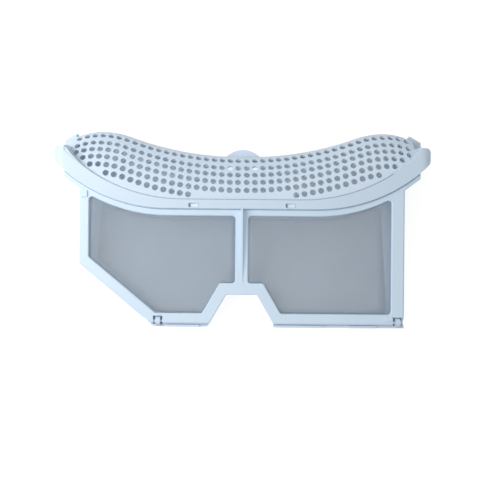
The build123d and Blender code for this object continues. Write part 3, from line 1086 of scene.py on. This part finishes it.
def finished(
    name: str, shape: bmesh.types.BMesh, finishes: list[bpy.types.Material], edge_round: float
) -> bpy.types.Object:
    """Put a shape of the door's plane into the frame, with softened edges.

    Args:
        name: Name of the piece.
        shape: The shape in millimetres, which is used up.
        finishes: The materials of its slots.
        edge_round: Width of the softening of its sharp edges, in millimetres.

    Returns:
        The finished object at the origin.
    """
    spots = DOOR_PLANE.to_frame(np.array([vert.co[:] for vert in shape.verts]))
    for vert, place in zip(shape.verts, spots):
        vert.co = place
    for face in shape.faces:
        face.smooth = True
    mesh = bpy.data.meshes.new(name)
    shape.to_mesh(mesh)
    shape.free()
    for finish in finishes:
        mesh.materials.append(finish)
    piece = link_object(name, mesh)
    soft = piece.modifiers.new("soft_edges", "BEVEL")
    soft.width = edge_round * MM
    soft.segments = SOFT_STEPS
    soft.limit_method = "ANGLE"
    soft.angle_limit = SOFT_ANGLE
    soft.harden_normals = True
    return link_object(name, plain_mesh(piece))


class AddedPiece:
    """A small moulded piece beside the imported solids."""

    name: str
    body: Body = Body.POCKET
    edge_round: float

    def shape(self) -> bmesh.types.BMesh:
        """The piece in the plane of the door."""
        raise NotImplementedError

    def build(self, finish: bpy.types.Material) -> bpy.types.Object:
        """Make the piece.

        Args:
            finish: Its material.

        Returns:
            The finished object, riding on its body.
        """
        piece = finished(self.name, self.shape(), [finish], self.edge_round)
        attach(piece, self.body.value)
        return piece


@dataclass
class DoorSeat(AddedPiece):
    """Thin bead under the rim's lower edge, just above the top edge of the closed door."""

    name: str = "door_seat_bead"
    rim: SmileLine = SmileLine(108.0, 70.0, 149.0)
    half_length: float = 164.0
    steps: int = 82
    rise: tuple[float, float] = (-0.55, 0.4)
    out: tuple[float, float] = (-3.0, -0.15)
    edge_round: float = 0.1

    def shape(self) -> bmesh.types.BMesh:
        """The bead in the plane of the door."""
        places = np.linspace(-self.half_length, self.half_length, self.steps + 1)
        levels = self.rim.heights(places)
        foot, top = self.rise
        back, front = self.out
        corners = ((foot, back), (foot, front), (top, front), (top, back))
        rings = [[(x, level + rise, out) for rise, out in corners] for x, level in zip(places, levels)]
        return strip(rings)


@dataclass
class SeamFillet(AddedPiece):
    """Filling between the rim's upper edge and the hood's front wall, at the ends of the hood."""

    hood: PerforatedHood
    name: str = "seam_fillet"
    span: tuple[float, float] = (141.0, 165.8)
    steps: int = 18
    samples: int = 80
    front: float = 1.5
    lift: float = 4.4
    slope: float = 0.12
    sunk: float = 1.5
    overlap: float = 0.4
    edge_round: float = 0.05

    def ring(self, x: float) -> list[tuple[float, float]]:
        """Section of the filling.

        Args:
            x: Place across the rim.

        Returns:
            Its corners, as rise and out.
        """
        near, far = self.span
        seam = float(self.hood.seam.heights(np.array([x]))[0])
        crest = float(self.hood.crest.heights(np.array([x]))[0])
        edge = seam + self.lift * ((x - near) / (far - near)) ** 2
        rises = np.linspace(edge, crest - self.overlap, self.samples)
        outs = self.hood.section.points(self.hood.section.front_run(crest - rises))[1]
        spare = self.slope * (self.front - outs) - (rises - edge)
        meeting = int(np.argmin(np.abs(spare)))
        back = float(outs[meeting]) - self.overlap
        return [
            (seam - self.sunk, self.front),
            (edge, self.front),
            (float(rises[meeting]) + self.slope * self.overlap, back),
            (seam - self.sunk, back),
        ]

    def shape(self) -> bmesh.types.BMesh:
        """The filling of both ends in the plane of the door."""
        whole = bmesh.new()
        for sign in (-1.0, 1.0):
            places = np.linspace(*self.span, self.steps + 1)
            rings = [[(sign * x, rise, out) for rise, out in self.ring(x)] for x in places]
            joined(whole, strip(rings))
        return whole


@dataclass
class HingeBoss(AddedPiece):
    """Low swelling of the door's bottom bar beside the right hinge knuckle, over the pin's root."""

    name: str = "hinge_boss"
    body: Body = Body.DOOR
    span: tuple[float, float] = (134.4, 140.4)
    foot: float = 4.9
    top: float = 9.0
    height: float = 1.3
    sunk: float = 0.6
    steps: int = 8
    edge_round: float = 0.4

    def shape(self) -> bmesh.types.BMesh:
        """The boss in the plane of the door."""
        turns = np.linspace(0.0, pi / 2, self.steps + 1)
        reach = self.top - self.foot
        profile = [(self.foot + reach * sin(turn), self.height * cos(turn)) for turn in turns]
        profile += [(self.top, -self.sunk), (self.foot, -self.sunk)]
        start, end = self.span
        return prism([profile], lambda rise, out, step: (start + step, rise, out), end - start)


@dataclass
class WovenScreen:
    """One taut screen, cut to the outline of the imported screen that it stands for."""

    node: str
    body: Body
    out: Vector
    thickness: float = 0.22 * MM
    grid: float = 9.0 * MM
    slack: float = 0.12 * MM
    ripple_across: float = 41.0
    ripple_along: float = 57.0
    ripple_start: float = 0.6
    facing: float = 0.9

    def outline(self, source: bpy.types.Object) -> bmesh.types.BMesh:
        """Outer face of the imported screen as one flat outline.

        Args:
            source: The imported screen.

        Returns:
            The outline as a single face.
        """
        copy = bmesh.new()
        copy.from_mesh(source.data)
        bmesh.ops.remove_doubles(copy, verts=copy.verts, dist=FRAME_WELD)
        copy.normal_update()
        others = [face for face in copy.faces if face.normal.dot(self.out) < self.facing]
        bmesh.ops.delete(copy, geom=others, context="FACES")
        bmesh.ops.dissolve_faces(copy, faces=copy.faces[:])
        return copy

    def divide(self, cloth: bmesh.types.BMesh, low: Vector, high: Vector) -> None:
        """Cut the cloth into a grid and let it hang a little slack between its edges.

        Args:
            cloth: The cloth, which is changed.
            low: Lowest corner of its box.
            high: Highest corner of its box.
        """
        for axis, direction in enumerate((Vector((1.0, 0.0, 0.0)), Vector((0.0, 1.0, 0.0)))):
            size = high[axis] - low[axis]
            cuts = int(size / self.grid)
            for cut in range(1, cuts + 1):
                spot = low.copy()
                spot[axis] = low[axis] + size * cut / (cuts + 1)
                bmesh.ops.bisect_plane(
                    cloth,
                    geom=cloth.verts[:] + cloth.edges[:] + cloth.faces[:],
                    dist=CUT_WELD,
                    plane_co=spot,
                    plane_no=direction,
                )
        for vert in cloth.verts:
            if not vert.is_boundary:
                wave = sin(vert.co.y * self.ripple_along + self.ripple_start)
                ripple = sin(vert.co.x * self.ripple_across) * wave
                vert.co += self.out * (ripple - 1.0) * self.slack

    def build(self, source: bpy.types.Object, finish: bpy.types.Material) -> bpy.types.Object:
        """Make the screen.

        Args:
            source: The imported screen.
            finish: Its material.

        Returns:
            The finished object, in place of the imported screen.
        """
        cloth = self.outline(source)
        area = sum(face.calc_area() for face in cloth.faces)
        low, high = (Vector(corner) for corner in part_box(self.node))
        self.divide(cloth, low, high)
        mesh = bpy.data.meshes.new(self.node)
        cloth.to_mesh(mesh)
        cloth.free()
        mesh.materials.append(finish)
        piece = link_object(f"{self.node}_cloth", mesh)
        solid = piece.modifiers.new("thread", "SOLIDIFY")
        solid.thickness = self.thickness
        solid.offset = -1.0
        piece = link_object(f"{self.node}_cloth", plain_mesh(piece))
        piece.data.shade_smooth()
        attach(piece, self.body.value)
        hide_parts(self.node)
        return piece


@dataclass(frozen=True)
class Lamp:
    """Square soft lamp that points at the part, in metres and watts."""

    name: str
    place: tuple[float, float, float]
    size: float
    power: float

    def hang(self) -> None:
        """Put the lamp into the scene."""
        light = bpy.data.lights.new(self.name, "AREA")
        light.shape = "SQUARE"
        light.size = self.size
        light.energy = self.power
        thing = bpy.data.objects.new(self.name, light)
        thing.location = self.place
        thing.rotation_euler = Vector(self.place).to_track_quat("Z", "Y").to_euler()
        bpy.context.scene.collection.objects.link(thing)


@dataclass
class Stage:
    """Pale floor, soft studio light and the camera."""

    floor_half: float = 3.0
    floor_drop: float = 0.0003
    floor_colour: Colour = (0.42, 0.42, 0.42, 1.0)
    floor_glow: float = 0.78
    floor_roughness: float = 0.9
    world_level: float = 0.4
    lamps: tuple[Lamp, ...] = (
        Lamp("key_lamp", (-0.5, 0.02, 0.5), 0.5, 3.6),
        Lamp("side_lamp", (0.4, 0.5, 0.5), 0.5, 0.6),
        Lamp("low_lamp", (0.0, -0.6, 0.6), 0.5, 1.0),
    )
    camera_place: tuple[float, float, float] = (7.7, 69.75, 437.0)
    camera_roll: float = radians(0.5)
    camera_lens: float = 33.84
    camera_sensor: float = 36.0
    camera_near: float = 0.01

    def seen_white(self, tree: bpy.types.NodeTree) -> bpy.types.NodeSocket:
        """Socket that is 1 for what the camera, a gloss or a clear part sees directly, and else 0."""
        sketch = NodeSketch(tree)
        path = sketch.add("ShaderNodeLightPath").outputs
        seen = sketch.math("MAXIMUM", path["Is Camera Ray"], path["Is Glossy Ray"])
        return sketch.math("MAXIMUM", seen, path["Is Transmission Ray"])

    def floor(self) -> None:
        """Make the floor, which is pale, keeps the part's shadow and turns white for the camera."""
        half = self.floor_half
        mesh = bpy.data.meshes.new("floor")
        corners = [(-half, -half), (half, -half), (half, half), (-half, half)]
        mesh.from_pydata([(x, y, -self.floor_drop) for x, y in corners], [], [(0, 1, 2, 3)])
        made = bpy.data.materials.new("pale_floor")
        made.use_nodes = True
        sketch = NodeSketch(made.node_tree)
        shader = made.node_tree.nodes["Principled BSDF"]
        shader.inputs["Base Color"].default_value = self.floor_colour
        shader.inputs["Roughness"].default_value = self.floor_roughness
        shader.inputs["Specular IOR Level"].default_value = 0.0
        shader.inputs["Emission Color"].default_value = WHITE
        glow = sketch.math("MULTIPLY", self.seen_white(made.node_tree), self.floor_glow)
        sketch.feed(shader.inputs["Emission Strength"], glow)
        mesh.materials.append(made)
        link_object("floor", mesh)

    def sky(self) -> None:
        """Make the even light from all round, white where the camera sees it."""
        world = bpy.data.worlds.new("studio")
        world.use_nodes = True
        sketch = NodeSketch(world.node_tree)
        back = world.node_tree.nodes["Background"]
        back.inputs["Color"].default_value = WHITE
        level = sketch.blend(self.seen_white(world.node_tree), self.world_level, 1.0)
        sketch.feed(back.inputs["Strength"], level)
        bpy.context.scene.world = world

    def camera(self) -> None:
        """Add the camera, square to the door's face."""
        data = bpy.data.cameras.new("photo_camera")
        data.lens = self.camera_lens
        data.sensor_width = self.camera_sensor
        data.clip_start = self.camera_near
        thing = bpy.data.objects.new("photo_camera", data)
        thing.location = DOOR_PLANE.to_frame(np.array([self.camera_place]))[0]
        thing.rotation_mode = "XYZ"
        thing.rotation_euler = (DOOR_PLANE.tilt, 0.0, 0.0)
        thing.rotation_euler.rotate_axis("Z", self.camera_roll)
        bpy.context.scene.collection.objects.link(thing)
        bpy.context.scene.camera = thing

    def build(self) -> None:
        """Make the whole stage."""
        self.floor()
        self.sky()
        for lamp in self.lamps:
            lamp.hang()
        self.camera()
        bpy.context.scene.view_settings.view_transform = "Standard"


def dress(node: bpy.types.Object, finish: bpy.types.Material) -> None:
    """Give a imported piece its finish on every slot."""
    node.data.materials.clear()
    node.data.materials.append(finish)


def main() -> None:
    """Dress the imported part, piece by piece."""
    logging.basicConfig(level=logging.INFO, format="%(name)s: %(message)s")
    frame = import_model()
    nodes = frame["nodes"]
    Stage().build()
    grain = grain_group()
    weave = weave_group()
    pocket_finish = MouldedPlastic("pocket_plastic").material(grain)
    door_finish = MouldedPlastic(
        "door_plastic", colour=(0.63, 0.76, 0.88, 1.0), shade=(0.56, 0.70, 0.84, 1.0)
    ).material(grain)
    hood_finish = MouldedPlastic(
        "hood_plastic", colour=(0.64, 0.75, 0.86, 1.0), shade=(0.57, 0.69, 0.82, 1.0)
    ).material(grain)
    # Inner faces of the hood: the same plastic painted lighter than the outside, as painted light in the
    # shaded inside seen through the holes.
    hood_lining_painted_light = MouldedPlastic(
        "hood_lining_painted_light", colour=(0.86, 0.93, 0.985, 1.0), shade=(0.82, 0.90, 0.965, 1.0), polish=0.6
    ).material(grain)
    door_cloth = ScreenCloth("door_cloth").material(weave)
    # Rear screens: the same woven mesh as the door's, painted darker as painted shade inside the pocket,
    # and woven denser so little of the floor shows through.
    rear_cloth_painted_shade = ScreenCloth(
        "rear_cloth_painted_shade",
        threads_per_metre=3300.0,
        thread_width=0.72,
        colour=(0.56, 0.65, 0.735, 1.0),
        shade=(0.48, 0.56, 0.64, 1.0),
    ).material(weave)
    for name, finish in (("housing", pocket_finish), ("door_frame", door_finish)):
        dress(nodes[name], finish)
        log.info("dressed %s", name)
    grille = PerforatedHood()
    for piece in (
        grille.build(hood_finish, hood_lining_painted_light),
        SeamFillet(grille).build(hood_finish),
        DoorSeat().build(pocket_finish),
        HingeBoss().build(door_finish),
    ):
        log.info("built %s with %d faces", piece.name, len(piece.data.polygons))
    up = Vector((0.0, 0.0, 1.0))
    out = DOOR_PLANE.normal()
    for screen in (
        WovenScreen("door_mesh_left", Body.DOOR, out),
        WovenScreen("door_mesh_right", Body.DOOR, out),
        WovenScreen("rear_mesh_left", Body.POCKET, up),
        WovenScreen("rear_mesh_right", Body.POCKET, up),
    ):
        cloth = door_cloth if screen.body is Body.DOOR else rear_cloth_painted_shade
        piece = screen.build(nodes[screen.node], cloth)
        log.info("built %s with %d faces", piece.name, len(piece.data.polygons))


if __name__ == "__main__":
    main()
